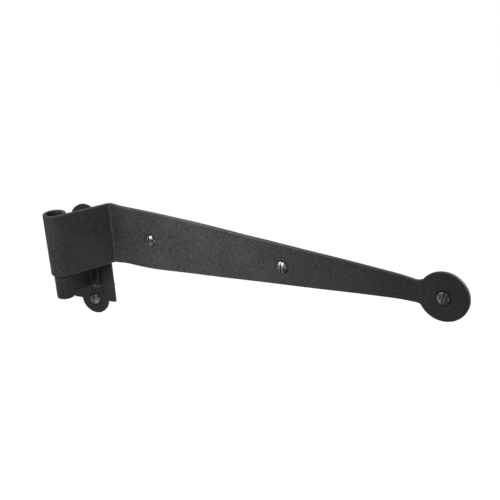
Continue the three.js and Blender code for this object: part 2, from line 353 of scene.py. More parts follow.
def turn_profile(name, profile, matrix, material, facets=72, tree=turned, **values):
    """A piece turned from its profile of (radius, height) points, then set in place.

    A plain piece has no thread. A screw's values give its thread, slot and head.
    """
    chain = [(i, i + 1) for i in range(len(profile) - 1)]
    piece = new_piece(name, [(r, 0, z) for r, z in profile], chain, [])
    settings = {
        "Facets": facets,
        "Thread_Pitch": 1.0,
        "Thread_Depth": 0.0,
        "Thread_Bottom": 0.0,
        "Thread_Top": 0.0,
        "Material": material,
        **values,
    }
    shape_with(piece, tree, **settings)
    settle(piece)
    piece.data.transform(matrix)
    face_outwards(piece)
    return piece


def span(node, direction):
    """How far a CAD node reaches, from and to, along a direction through the origin."""
    reach = [v.co.dot(direction) for v in frame["nodes"][node].data.vertices]
    return min(reach), max(reach)


def screw_seat(node, yaw):
    """The centre of a screw head's rim, and the way that the head faces.

    yaw is how far the metal under the head is turned about Z from the wall's own plane.
    """
    along = Vector((math.cos(yaw), math.sin(yaw), 0))
    outward = Vector((math.sin(yaw), -math.cos(yaw), 0))
    up = Vector((0, 0, 1))
    middle = sum(span(node, along)) / 2
    level = sum(span(node, up)) / 2
    rim = span(node, outward)[1] - SCREW_DOME
    return along * middle + up * level + outward * rim, outward


def head_matrix(seat, yaw, slot_degrees=0):
    """Stands a screw, drawn with its head up +Z, in its hole, its slot leaning clockwise."""
    facing = Matrix.Rotation(yaw, 4, "Z") @ Matrix.Rotation(math.pi / 2, 4, "X")
    return Matrix.Translation(seat) @ facing @ Matrix.Rotation(-math.radians(slot_degrees), 4, "Z")


def countersink(piece, screw, yaw, thickness):
    """Cuts the countersunk hole of one screw, with a small broken lip, as a modifier."""
    past = 2 * MM
    seat, outward = screw_seat(screw, yaw)
    face = seat - outward * SCREW_PROUD
    cone = (COUNTERSINK_R - SCREW_HOLE_R) / math.tan(COUNTERSINK_ANGLE)
    profile = [
        (0, -thickness - past),
        (SCREW_HOLE_R, -thickness - past),
        (SCREW_HOLE_R, -cone),
        (COUNTERSINK_R, -COUNTERSINK_LIP),
        (COUNTERSINK_R + COUNTERSINK_LIP, 0),
        (COUNTERSINK_R + COUNTERSINK_LIP, past),
        (0, past),
    ]
    cutter = turn_profile(f"{screw}_cutter", profile, head_matrix(face, yaw), None)
    cutter.hide_render = True
    hole = piece.modifiers.new("countersink", "BOOLEAN")
    hole.object = cutter
    hole.operation = "DIFFERENCE"
    hole.solver = "EXACT"
    return cutter


plate_low, plate_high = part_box("base_plate")
plate_thickness = plate_high.y - plate_low.y
half_width = (plate_high.x - plate_low.x) / 2
shoulder = plate_high.z - EAR_R
plate_outline = [
    (-half_width, -shoulder),
    *arc(0, -shoulder, EAR_R, math.pi, math.tau),
    (half_width, -shoulder),
    (half_width, shoulder),
    *arc(0, shoulder, EAR_R, 0, math.pi),
    (-half_width, shoulder),
]
base_plate = new_piece(
    "wall_plate",
    [(x, plate_low.y, z) for x, z in plate_outline],
    [],
    [list(range(len(plate_outline)))],
)
base_plate.data.materials.append(shaded_bracket_coat)
thicken = base_plate.modifiers.new("bar thickness", "SOLIDIFY")
thicken.thickness = plate_thickness
thicken.offset = -1
ease = base_plate.modifiers.new("filed edges", "BEVEL")
ease.width = PLATE_EASE
ease.segments = 3
ease.limit_method = "ANGLE"
ease.angle_limit = math.radians(50)
cutters = [
    countersink(base_plate, f"bracket_screw_{end}", 0, plate_thickness)
    for end in ("upper", "lower")
]
settle(base_plate)
smooth(base_plate, 35)
for cutter in cutters:
    bpy.data.objects.remove(cutter)
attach(base_plate, "bracket")
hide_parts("base_plate")

# ---- Bracket arm ----
# The arm is one strip of the same bar, wrapped round the pin so that its two legs run back
# side by side to the plate, where their ends turn out as feet. It is bent cold over a
# mandrel, welded to the plate at its feet and coated together with it.

pin_at = Vector(frame["joints"][0]["pos_m"])
KNUCKLE_BORE_R = 4.85 * MM
WRAP_R = 3 * MM  # outside radius where the legs leave the knuckle
FOOT_BEND_R = 1.5 * MM
FOOT_GAP = 0.3 * MM
ARM_FLARE = 4.5 * MM  # how much further the arm reaches, up and down, at the plate
FLARE_START = 2 * MM  # the flare begins this far behind the knuckle
ARM_EASE = 0.4 * MM
ARM_ROWS = 8
LEG_SPANS = 8
FOOT_SPANS = 5
FINE_STEP = math.radians(7)
EDGE_TURNS = (30, 60, 90)  # degrees round an eased edge, from the face to the rim


def strip_blank(name, stations, thickness, ease_radius, rows):
    """A flat blank with eased edges, before bending. Each station is (along, low, high).

    Along is X, the thickness is across Y, and low and high are heights. Where low meets high,
    the blank ends in a point of its rounded end. Its rim carries a "rim" value of 1.
    """
    last = len(stations) - 1
    pointed = stations[-1][2] - stations[-1][1] < ease_radius / 10
    row_count = [1 if pointed and i == last else rows + 1 for i in range(last + 1)]

    def edge(i, j):
        along, low, high = stations[i]
        return Vector((along, low + (high - low) * j / rows))

    loop = [(i, 0) for i in range(last + 1)]
    if not pointed:
        loop += [(last, j) for j in range(1, rows)]
        loop.append((last, rows))
    loop += [(i, rows) for i in range(last - 1, -1, -1)]
    loop += [(0, j) for j in range(rows - 1, 0, -1)]
    outer = [edge(i, j) for i, j in loop]
    inner = []
    for k, corner in enumerate(outer):
        before = (corner - outer[k - 1]).normalized()
        after = (outer[(k + 1) % len(outer)] - corner).normalized()
        sides = [Vector((-d.y, d.x)) for d in (before, after)]
        inward = (sides[0] + sides[1]) / (1 + sides[0].dot(sides[1]))
        inner.append(corner + inward * ease_radius)
    inset = {key: inner[k] for k, key in enumerate(loop)}

    vertices, rim, faces = [], [], []
    caps = []
    for side in (1, -1):
        cap = {}
        for i in range(last + 1):
            low, high = inset[(i, 0)], inset[(i, 0 if row_count[i] == 1 else rows)]
            for j in range(row_count[i]):
                at = inset[(i, j)] if (i, j) in inset else low.lerp(high, j / rows)
                cap[(i, j)] = len(vertices)
                vertices.append((at.x, side * thickness / 2, at.y))
                rim.append(0.0)
        for i in range(last):
            for j in range(rows):
                ring = [cap[(i, j)], cap[(i, j + 1)]]
                if row_count[i + 1] > 1:
                    ring += [cap[(i + 1, j + 1)], cap[(i + 1, j)]]
                else:
                    ring.append(cap[(i + 1, 0)])
                faces.append(ring)
        caps.append(cap)
    rings = [[caps[0][key] for key in loop]]
    for side in (1, -1):
        for turn in EDGE_TURNS if side > 0 else reversed(EDGE_TURNS):
            a = math.radians(turn)
            drop = ease_radius * (1 - math.cos(a))
            ring = []
            for k in range(len(loop)):
                at = inner[k].lerp(outer[k], math.sin(a))
                ring.append(len(vertices))
                vertices.append((at.x, side * (thickness / 2 - drop), at.y))
                rim.append(1.0)
            rings.append(ring)
    rings.append([caps[1][key] for key in loop])
    for upper, lower in zip(rings, rings[1:]):
        for k in range(len(loop)):
            after = (k + 1) % len(loop)
            faces.append([upper[k], upper[after], lower[after], lower[k]])
    blank = new_piece(name, vertices, [], faces)
    marks = blank.data.attributes.new("rim", "FLOAT", "POINT")
    marks.data.foreach_set("value", rim)
    face_outwards(blank)
    return blank


def forming_tree():
    """Bends a flat blank along a line in plan, as the press and mandrel do.

    X is measured along the line, Y out to its right-hand side, and Z stays a height.
    The waver is the small unevenness of bar that was sheared and bent by hand.
    """
    tree = new_tree(
        "formed bar",
        Bending_Line="Object",
        Edge_Waver="Float",
        Face_Waver="Float",
        Waver_Length="Float",
        Seed="Float",
        Material="Material",
    )
    given = add_node(tree, "NodeGroupInput").outputs
    line = add_node(
        tree, "GeometryNodeObjectInfo", {"Object": given["Bending Line"]}
    ).outputs["Geometry"]
    here = add_node(tree, "GeometryNodeInputPosition").outputs[0]
    flat = add_node(tree, "ShaderNodeSeparateXYZ", {0: here}).outputs
    waves = add_node(
        tree, "ShaderNodeMath", {0: 1.0, 1: given["Waver Length"]}, operation="DIVIDE"
    ).outputs[0]
    noise = add_node(
        tree,
        "ShaderNodeTexNoise",
        {"Vector": here, "W": given["Seed"], "Scale": waves, "Detail": 1.5},
        noise_dimensions="4D",
    ).outputs["Color"]
    centred = add_node(
        tree, "ShaderNodeVectorMath", {0: noise, 1: (0.5, 0.5, 0.5)}, operation="SUBTRACT"
    ).outputs[0]
    amount = add_node(
        tree,
        "ShaderNodeCombineXYZ",
        {0: 0.0, 1: given["Face Waver"], 2: given["Edge Waver"]},
    ).outputs[0]
    waver = add_node(
        tree, "ShaderNodeVectorMath", {0: centred, 1: amount}, operation="MULTIPLY"
    ).outputs[0]
    uneven = add_node(tree, "ShaderNodeSeparateXYZ", {0: waver}).outputs
    across = add_node(
        tree, "ShaderNodeMath", {0: flat["Y"], 1: uneven["Y"]}, operation="ADD"
    ).outputs[0]
    height = add_node(
        tree, "ShaderNodeMath", {0: flat["Z"], 1: uneven["Z"]}, operation="ADD"
    ).outputs[0]
    bent = add_node(
        tree, "GeometryNodeSampleCurve", {"Curves": line, "Length": flat["X"]}, mode="LENGTH"
    ).outputs
    side = add_node(
        tree, "ShaderNodeVectorMath", {0: bent["Tangent"], 1: (0, 0, 1)}, operation="CROSS_PRODUCT"
    ).outputs[0]
    offset = add_node(
        tree, "ShaderNodeVectorMath", {0: side, "Scale": across}, operation="SCALE"
    ).outputs[0]
    lift = add_node(tree, "ShaderNodeCombineXYZ", {0: 0.0, 1: 0.0, 2: height}).outputs[0]
    plan = add_node(
        tree, "ShaderNodeVectorMath", {0: bent["Position"], 1: offset}, operation="ADD"
    ).outputs[0]
    formed = add_node(tree, "ShaderNodeVectorMath", {0: plan, 1: lift}, operation="ADD").outputs[0]
    placed = add_node(
        tree, "GeometryNodeSetPosition", {"Geometry": given["Geometry"], "Position": formed}
    ).outputs[0]
    end_tree(tree, placed, given["Material"])
    return tree


formed_bar = forming_tree()


def bending_line(name, plan, matrix):
    """The line in plan that a bar is bent along, through the middle of its thickness."""
    curve = bpy.data.curves.new(name, "CURVE")
    curve.dimensions = "3D"
    spline = curve.splines.new("POLY")
    spline.points.add(len(plan) - 1)
    for spot, (x, y) in zip(spline.points, plan):
        spot.co = (*(matrix @ Vector((x, y, 0))), 1)
    line = bpy.data.objects.new(name, curve)
    bpy.context.scene.collection.objects.link(line)
    return line


def lengths_along(plan):
    """The length along a line in plan at each of its points."""
    total = [0.0]
    for a, b in zip(plan, plan[1:]):
        total.append(total[-1] + (Vector(b) - Vector(a)).length)
    return total


def straight(start, end, count):
    """Points between two others, ends left out, so that a flat stretch has some stations."""
    a, b = Vector(start), Vector(end)
    return [tuple(a.lerp(b, i / count)) for i in range(1, count)]


arm_low, arm_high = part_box("bracket_arm")
bar = plate_thickness
standoff = plate_low.y - pin_at.y
knuckle_r = KNUCKLE_BORE_R + bar
knuckle_mid = KNUCKLE_BORE_R + bar / 2
leg_mid = FOOT_GAP / 2 + bar / 2
wrap_x = leg_mid + bar / 2 + WRAP_R
wrap_y = math.sqrt((knuckle_r + WRAP_R) ** 2 - wrap_x**2)
wrap_turn = math.atan2(wrap_y, wrap_x)
foot_mid_y = standoff - FOOT_GAP - bar / 2
foot_bend = FOOT_BEND_R + bar / 2
foot_end = (arm_high.x - arm_low.x) / 2
right_leg = [
    *arc(0, 0, knuckle_mid, -math.pi / 2, wrap_turn, FINE_STEP),
    *arc(wrap_x, wrap_y, WRAP_R + bar / 2, math.pi + wrap_turn, math.pi, FINE_STEP)[1:],
    *straight((leg_mid, wrap_y), (leg_mid, foot_mid_y - foot_bend), LEG_SPANS),
    *arc(leg_mid + foot_bend, foot_mid_y - foot_bend, foot_bend, math.pi, math.pi / 2, FINE_STEP),
    *straight((leg_mid + foot_bend, foot_mid_y), (foot_end, foot_mid_y), FOOT_SPANS),
    (foot_end, foot_mid_y),
]
arm_plan = [(-x, y) for x, y in reversed(right_leg)] + right_leg[1:]
flare_from = knuckle_r + FLARE_START
arm_stations = []
for length, (x, y) in zip(lengths_along(arm_plan), arm_plan):
    flare = ARM_FLARE * min(1, max(0, (y - flare_from) / (foot_mid_y - bar / 2 - flare_from)))
    arm_stations.append((length, arm_low.z + ARM_FLARE - flare, arm_high.z - ARM_FLARE + flare))
bracket_arm = strip_blank("bracket_arm_strip", arm_stations, bar, ARM_EASE, ARM_ROWS)
arm_line = bending_line("arm_line", arm_plan, Matrix.Translation((pin_at.x, pin_at.y, 0)))
shape_with(
    bracket_arm,
    formed_bar,
    Bending_Line=arm_line,
    Edge_Waver=0.3 * MM,
    Face_Waver=0.12 * MM,
    Waver_Length=14 * MM,
    Seed=3.0,
    Material=shaded_bracket_coat,
)
settle(bracket_arm)
bpy.data.objects.remove(arm_line)
face_outwards(bracket_arm)
smooth(bracket_arm, 50)
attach(bracket_arm, "bracket")
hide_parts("bracket_arm")

# ---- Welds ----
# A short bead of electric-arc weld holds each end of each foot to the plate.
# The molten metal freezes in small crescent ripples, and the powder coat pools over them,
# so that the beads are smoother and glossier than the bar beside them. Their coat is drawn
# lighter than the bar's, as a painted highlight.

BEAD_LEG = 3.6 * MM
BEAD_RISE = 4.3 * MM
WELD_ROOT = 1.2 * MM  # how deep the weld has melted into the plate
RIPPLE_PITCH = 1.1 * MM
RIPPLE_SHARE = 0.022  # ripple height as a share of the bead's own
RIPPLE_BOW = 0.35  # how far a ripple leans along the bead, in mm for each mm up it
BEAD_CORE = 0.78  # the bead without its lumps, as a share of its size
BEAD_LUMPS = 0.44  # the most that the lumps add to that
BEAD_OVERRUN = 3.1 * MM  # how much longer the bead is than the CAD weld, at each end
BEAD_SHIFT = 1.5 * MM  # how far its middle lies from the CAD weld's, toward the arm
BEAD_SINK = 0.2 * MM  # how far its middle lies inside the plate's front face
# The beads' coat is the bracket's black drawn lighter, as a painted highlight on the glossy weld.
lit_weld_coat = satin_powder_coat(
    "black powder coat, pooled on weld",
    dark="#242422",
    light="#363634",
    thin_rim_highlight="#3c3c3a",
    roughness=0.36,
)


def weld_tree():
    """A bead of weld: a long drop with ripples across it and a hand's unevenness."""
    tree = new_tree(
        "weld bead",
        Size="Vector",
        Ripple_Pitch="Float",
        Ripple_Share="Float",
        Seed="Float",
        Material="Material",
    )
    given = add_node(tree, "NodeGroupInput").outputs
    ball = add_node(
        tree, "GeometryNodeMeshIcoSphere", {"Radius": 1.0, "Subdivisions": 5}
    ).outputs["Mesh"]
    here = add_node(tree, "GeometryNodeInputPosition").outputs[0]
    lumps = add_node(
        tree,
        "ShaderNodeTexNoise",
        {"Vector": here, "W": given["Seed"], "Scale": 1.1, "Detail": 1.0},
        noise_dimensions="4D",
    ).outputs["Fac"]
    sized = add_node(
        tree, "ShaderNodeVectorMath", {0: here, 1: given["Size"]}, operation="MULTIPLY"
    ).outputs[0]
    axes = add_node(tree, "ShaderNodeSeparateXYZ", {0: sized}).outputs
    bow = add_node(
        tree,
        "ShaderNodeMath",
        {0: axes["Z"], 1: RIPPLE_BOW, 2: axes["X"]},
        operation="MULTIPLY_ADD",
    ).outputs[0]
    crest = add_node(
        tree, "ShaderNodeMath", {0: bow, 1: given["Ripple Pitch"]}, operation="DIVIDE"
    ).outputs[0]
    phase = add_node(
        tree, "ShaderNodeMath", {0: crest, 1: math.tau}, operation="MULTIPLY"
    ).outputs[0]
    wave = add_node(tree, "ShaderNodeMath", {0: phase}, operation="SINE").outputs[0]
    ripple = add_node(
        tree,
        "ShaderNodeMath",
        {0: wave, 1: given["Ripple Share"], 2: BEAD_CORE},
        operation="MULTIPLY_ADD",
    ).outputs[0]
    swell = add_node(
        tree, "ShaderNodeMath", {0: lumps, 1: BEAD_LUMPS, 2: ripple}, operation="MULTIPLY_ADD"
    ).outputs[0]
    shaped = add_node(
        tree, "ShaderNodeVectorMath", {0: sized, "Scale": swell}, operation="SCALE"
    ).outputs[0]
    placed = add_node(
        tree, "GeometryNodeSetPosition", {"Geometry": ball, "Position": shaped}
    ).outputs[0]
    end_tree(tree, placed, given["Material"])
    return tree


weld_bead = weld_tree()
for number, corner in enumerate(("right_upper", "right_lower", "left_upper", "left_lower")):
    node = f"weld_{corner}"
    low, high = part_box(node)
    root_z = high.z if corner.endswith("lower") else low.z
    bead = new_piece(f"bead_{corner}", [], [], [])
    half_length = (high.x - low.x) / 2 + BEAD_OVERRUN
    middle = (low.x + high.x) / 2 - math.copysign(BEAD_SHIFT, low.x)
    shape_with(
        bead,
        weld_bead,
        Size=(half_length, BEAD_LEG, BEAD_RISE),
        Ripple_Pitch=RIPPLE_PITCH,
        Ripple_Share=RIPPLE_SHARE,
        Seed=number * 2.7,
        Material=lit_weld_coat,
    )
    settle(bead)
    bead.data.transform(Matrix.Translation((middle, plate_low.y + BEAD_SINK, root_z)))
    for vertex in bead.data.vertices:
        vertex.co.y = min(vertex.co.y, plate_low.y + WELD_ROOT)
    face_outwards(bead)
    smooth(bead, 60)
    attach(bead, "bracket")
    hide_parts(node)

# ---- Pintle pin ----
# The pin is turned from 1/2 in bright steel bar: a full-size upright for the strap's barrel,
# a thinner shank pressed into the knuckle, and a hammered end below that holds it there.
# It is chemically blackened, and the barrel has rubbed it a little bright.

PIN_SHANK_R = 4.6 * MM
PIN_CHAMFER = 1.6 * MM
PIN_PEEN = 0.8 * MM
PIN_EDGE = 0.3 * MM
PIN_SHOULDER_Z = 2.1 * MM
CENTRE_DRILL_R = 1.3 * MM
TURNING_FEED = 0.5 * MM  # drawn coarse; the real tool marks are 0.1 mm apart


def blackened_steel(name, dark, rubbed, rough, feed):
    """Chemically blackened turned steel. It is a metal, so its sheen takes the colour of the black.

    Tool marks run round the piece, and rubbing wears the black to grey steel in soft patches.
    """
    wear_size = 9 * MM
    mark_depth = 0.02 * MM
    band_width = 0.31  # from band to band of a wave texture whose scale is 1
    material = bpy.data.materials.new(name)
    material.use_nodes = True
    tree = material.node_tree
    tree.nodes.clear()
    place = add_node(tree, "ShaderNodeTexCoord").outputs["Object"]
    marks = add_node(
        tree,
        "ShaderNodeTexWave",
        {"Vector": place, "Scale": band_width / feed, "Distortion": 0.0},
        bands_direction="Z",
    ).outputs["Fac"]
    wear = add_node(
        tree,
        "ShaderNodeTexNoise",
        {"Vector": place, "Scale": 1 / wear_size, "Detail": 4.0, "Roughness": 0.55},
    ).outputs["Fac"]
    patch = add_node(
        tree, "ShaderNodeMapRange", {"Value": wear, "From Min": 0.4, "From Max": 0.85}
    ).outputs["Result"]
    colour = add_node(
        tree, "ShaderNodeMix", {0: patch, 6: linear(dark), 7: linear(rubbed)}, data_type="RGBA"
    ).outputs[2]
    matt = add_node(
        tree,
        "ShaderNodeMapRange",
        {"Value": wear, "From Min": 0.3, "From Max": 0.7, "To Min": rough + 0.12, "To Max": rough},
    ).outputs["Result"]
    bump = add_node(
        tree, "ShaderNodeBump", {"Height": marks, "Strength": 0.6, "Distance": mark_depth}
    ).outputs["Normal"]
    shader = add_node(
        tree,
        "ShaderNodeBsdfPrincipled",
        {"Base Color": colour, "Metallic": 1.0, "Roughness": matt, "Normal": bump},
    )
    add_node(tree, "ShaderNodeOutputMaterial", {"Surface": shader.outputs["BSDF"]})
    return material


pin_low, pin_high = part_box("pintle_pin")
pin_r = (pin_high.x - pin_low.x) / 2
pin_foot = pin_low.z
pin_profile = [
    (0, pin_foot),
    (PIN_SHANK_R - PIN_PEEN, pin_foot),
    (PIN_SHANK_R - PIN_PEEN / 3, pin_foot + PIN_PEEN / 3),
    (PIN_SHANK_R, pin_foot + PIN_PEEN),
    (PIN_SHANK_R, PIN_SHOULDER_Z),
    (pin_r - PIN_EDGE, PIN_SHOULDER_Z),
    (pin_r, PIN_SHOULDER_Z + PIN_EDGE),
    (pin_r, pin_high.z - PIN_CHAMFER),
    (pin_r - PIN_EDGE / 2, pin_high.z - PIN_CHAMFER + PIN_EDGE),
    (pin_r - PIN_CHAMFER, pin_high.z),
    (CENTRE_DRILL_R, pin_high.z),
    (0, pin_high.z - CENTRE_DRILL_R),
]
pin_steel = blackened_steel("blackened turned steel", "#333335", "#626160", 0.36, TURNING_FEED)
on_pin_axis = Matrix.Translation((pin_at.x, pin_at.y, 0))
pin = turn_profile("pintle_pin_turned", pin_profile, on_pin_axis, pin_steel, facets=96)
smooth(pin, 28)
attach(pin, "bracket")
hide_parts("pintle_pin")

# ---- Washer ----
# A thin washer, punched from blackened steel sheet, lies on the knuckle round the pin.
# The strap's barrel turns on it, so that the coats don't rub each other off.

WASHER_ROUND = 0.2 * MM
WASHER_PLAY = 0.3 * MM  # between the washer's bore and the pin
WASHER_GRAIN = 0.8 * MM  # between the marks round its rim, drawn coarse
washer_low, washer_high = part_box("thrust_washer")
washer_r = (washer_high.x - washer_low.x) / 2
washer_bore = pin_r + WASHER_PLAY
washer_profile = [
    (washer_bore, washer_low.z),
    (washer_r - WASHER_ROUND, washer_low.z),
    (washer_r, washer_low.z + WASHER_ROUND),
    (washer_r, washer_high.z - WASHER_ROUND),
    (washer_r - WASHER_ROUND, washer_high.z),
    (washer_bore, washer_high.z),
    (washer_bore, washer_low.z),
]
washer_steel = blackened_steel("blackened sheet steel", "#222224", "#5a5957", 0.42, WASHER_GRAIN)
washer = turn_profile("washer_ring", washer_profile, on_pin_axis, washer_steel, facets=96)
smooth(washer, 50)
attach(washer, "washer")
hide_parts("thrust_washer")

# ---- Strap ----
# The strap is a 2 1/4 in flat bar, tapered and rounded at its far end, with one end rolled into
# the barrel that drops over the pin. An offset bend brings the blade back to the wall's plane.
# It is cut and filed by hand, bent hot, punched for three screws and powder coated satin black.

BEND = math.radians(67.25)
BEND_R = 2.5 * MM
ROLL_SHORT = math.radians(40)  # the rolled end stops this far short of lying along the offset
DISC_R = 19.3 * MM
NECK_RUN = 2.5 * MM
NECK_LIFT = 1.3 * MM
STRAP_EASE = 0.9 * MM
STRAP_ROWS = 12
TAPER_STEPS = 8  # points from each taper station to the next
HOLLOW_STEPS = 6
OFFSET_SPANS = 8
FLAT_SPANS = 56
NECK_SPANS = 14
NECK_END = 40  # degrees round the disc, from the side nearest the bend, where the neck ends
DISC_STEP = 4  # degrees
# Distance from the bend, and how far the edge is above or below the middle line, in mm
BLADE_TOP = ((14, 27.4), (45, 26.6), (97, 24), (184, 18.1), (266, 12.3), (289, 9.5))
BLADE_BOTTOM = ((14, 27.4), (48, 27), (95, 23.2), (184, 15.8), (266, 9), (289.5, 8.3))


def through(points, steps):
    """A smooth line through the points, evenly weighted at each."""
    padded = [points[0], *points, points[-1]]
    line = []
    for k in range(len(points) - 1):
        p0, p1, p2, p3 = (Vector(p) for p in padded[k : k + 4])
        for i in range(steps + (k == len(points) - 2)):
            t = i / steps
            line.append(
                p1
                + (p2 - p0) * t / 2
                + (2 * p0 - 5 * p1 + 4 * p2 - p3) * t * t / 2
                + (3 * p1 - p0 - 3 * p2 + p3) * t**3 / 2
            )
    return line


def height_on(line, x):
    """The height of a line of points at x."""
    for a, b in zip(line, line[1:]):
        if a.x <= x <= b.x:
            return a.y + (b.y - a.y) * (x - a.x) / max(b.x - a.x, 1e-9)
    return line[0].y if x < line[0].x else line[-1].y


def blade_edge(stations, disc_x, start_x):
    """One edge, as heights off the middle line: taper, hollow neck, round end."""
    taper = through([(start_x + u * MM, half * MM) for u, half in stations], TAPER_STEPS)
    neck = taper[-1]
    lift = neck.y + NECK_LIFT
    meets = Vector((disc_x - math.sqrt(DISC_R**2 - lift**2), lift))
    control = neck + Vector((NECK_RUN, 0))
    hollow = []
    for i in range(1, HOLLOW_STEPS + 1):
        t = i / HOLLOW_STEPS
        hollow.append(neck * (1 - t) ** 2 + control * 2 * t * (1 - t) + meets * t * t)
    from_turn = math.atan2(meets.y, meets.x - disc_x)
    round_end = [Vector(p) for p in arc(disc_x, 0, DISC_R, from_turn, 0, math.radians(1))]
    return taper + hollow + round_end[1:]


strap_low, strap_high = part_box("strap_leaf")
strap_mid = (strap_low.z + strap_high.z) / 2
strap_half = (strap_high.z - strap_low.z) / 2
open_at_rest = -math.radians(frame["joints"][0]["range_deg"][0])
barrel_r = pin_at.x - strap_low.x
barrel_mid = barrel_r - bar / 2
blade_along = Vector((math.cos(open_at_rest), -math.sin(open_at_rest), 0))
blade_end = span("strap_leaf", blade_along)[1] - pin_at.dot(blade_along)
disc_x = blade_end - DISC_R
facing = BEND - math.pi / 2
offset_run = (standoff + barrel_r * math.cos(BEND)) / math.sin(BEND)
bend_x = offset_run * math.cos(BEND) + barrel_r * math.sin(BEND)
bend_at = (bend_x + BEND_R * math.tan(BEND / 2), standoff - BEND_R)
roll_start = BEND - ROLL_SHORT - math.tau
top_edge = blade_edge(BLADE_TOP, disc_x, bend_x)
bottom_edge = blade_edge(BLADE_BOTTOM, disc_x, bend_x)

rolled = arc(0, 0, barrel_mid, roll_start, facing, math.radians(5))
bent = arc(*bend_at, BEND_R + bar / 2, math.pi + facing, math.pi / 2, math.radians(6))
blade_y = standoff + bar / 2
neck_x = top_edge[(len(BLADE_TOP) - 1) * TAPER_STEPS].x
neck_run = disc_x - DISC_R * math.cos(math.radians(NECK_END)) - neck_x
flat_xs = [bend_at[0] + (neck_x - bend_at[0]) * i / FLAT_SPANS for i in range(1, FLAT_SPANS + 1)]
neck_xs = [neck_x + neck_run * i / NECK_SPANS for i in range(1, NECK_SPANS + 1)]
disc_turns = range(NECK_END + DISC_STEP, 180 + DISC_STEP, DISC_STEP)
disc_xs = [disc_x - DISC_R * math.cos(math.radians(turn)) for turn in disc_turns]
strap_plan = [
    *rolled,
    *straight(rolled[-1], bent[0], OFFSET_SPANS),
    *bent,
    *[(x, blade_y) for x in flat_xs + neck_xs + disc_xs],
]
ease_run = BLADE_TOP[0][0] * MM - BEND_R  # the bar's edges ease into the taper over this run
strap_stations = []
for length, (x, y) in zip(lengths_along(strap_plan), strap_plan):
    past_bend = y > blade_y - 1e-6 and x > bend_x
    high = min(strap_half, height_on(top_edge, x)) if past_bend else strap_half
    low = min(strap_half, height_on(bottom_edge, x)) if past_bend else strap_half
    ease_in = min(1, max(0, (x - bend_at[0]) / ease_run)) if past_bend else 0
    high = strap_half + (high - strap_half) * ease_in
    low = strap_half + (low - strap_half) * ease_in
    strap_stations.append((length, strap_mid - low, strap_mid + high))
strap = strip_blank("strap_bar", strap_stations, bar, STRAP_EASE, STRAP_ROWS)
stand_open = on_pin_axis @ Matrix.Rotation(-open_at_rest, 4, "Z")
strap_line = bending_line("strap_line", strap_plan, stand_open)
strap_coat = satin_powder_coat(
    "black powder coat, strap", dark="#0e0e0d", light="#1f1f1d", thin_rim_highlight="#343432", roughness=0.46
)
shape_with(
    strap,
    formed_bar,
    Bending_Line=strap_line,
    Edge_Waver=0.7 * MM,
    Face_Waver=0.3 * MM,
    Waver_Length=34 * MM,
    Seed=1.0,
    Material=strap_coat,
)
settle(strap)
bpy.data.objects.remove(strap_line)
face_outwards(strap)
STRAP_SCREWS = {"strap_screw_bend": 8, "strap_screw_middle": 4, "strap_screw_end": 14}
cutters = [countersink(strap, screw, -open_at_rest, bar) for screw in STRAP_SCREWS]
settle(strap)
smooth(strap, 40)
for cutter in cutters:
    bpy.data.objects.remove(cutter)
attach(strap, "strap")
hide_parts("strap_leaf")

# ---- Screws ----
# Slotted oval-head wood screws of blackened steel hold the bracket to the post and the strap
# to the door. Each has a sawn slot, a rolled thread and a gimlet point. The driver has left
# bright patches on the heads.

HEAD_R = 5 * MM
SHANK_R = 2.4 * MM
POINT_LENGTH = 7 * MM
SLOT_WIDTH = 1.2 * MM
SLOT_DEPTH = 1.7 * MM
THREAD_PITCH = 1.95 * MM
THREAD_SHARE = 0.56  # the groove is half this share of the radius deep
THREAD_REACH = 0.65  # of the screw's length is threaded
RIM_BELOW = 0.12 * MM  # the head's rim is straight from this far below its seat's level
RIM_ABOVE = 0.05 * MM  # to this far above it
THREAD_STEPS = 8
DOME_STEPS = 7
BRACKET_SCREWS = {"bracket_screw_upper": 12, "bracket_screw_lower": 5}


def screw_tree():
    """A turned screw with a driver's slot sawn across its head.

    It keeps each point's place on the screw itself, X across the slot, for the wear to follow.
    """
    tree = new_tree(
        "slotted screw",
        Facets="Int",
        Thread_Pitch="Float",
        Thread_Depth="Float",
        Thread_Bottom="Float",
        Thread_Top="Float",
        Slot_Size="Vector",
        Head_Top="Float",
        Material="Material",
    )
    given = add_node(tree, "NodeGroupInput").outputs
    shared = ("Geometry", "Facets", "Thread Pitch", "Thread Depth", "Thread Bottom", "Thread Top")
    body = add_node(tree, "GeometryNodeGroup", node_tree=turned)
    for label in shared:
        tree.links.new(given[label], body.inputs[label])
    saw = add_node(tree, "GeometryNodeMeshCube", {"Size": given["Slot Size"]}).outputs["Mesh"]
    top = add_node(tree, "ShaderNodeCombineXYZ", {2: given["Head Top"]}).outputs[0]
    raised = add_node(
        tree, "GeometryNodeTransform", {"Geometry": saw, "Translation": top}
    ).outputs[0]
    slotted = add_node(
        tree,
        "GeometryNodeMeshBoolean",
        {"Mesh 1": body.outputs[0], "Mesh 2": raised},
        operation="DIFFERENCE",
        solver="EXACT",
    ).outputs["Mesh"]
    here = add_node(tree, "GeometryNodeInputPosition").outputs[0]
    marked = add_node(
        tree,
        "GeometryNodeStoreNamedAttribute",
        {"Geometry": slotted, "Name": "on_screw", "Value": here},
        data_type="FLOAT_VECTOR",
        domain="POINT",
    ).outputs[0]
    end_tree(tree, marked, given["Material"])
    return tree


slotted_screw = screw_tree()


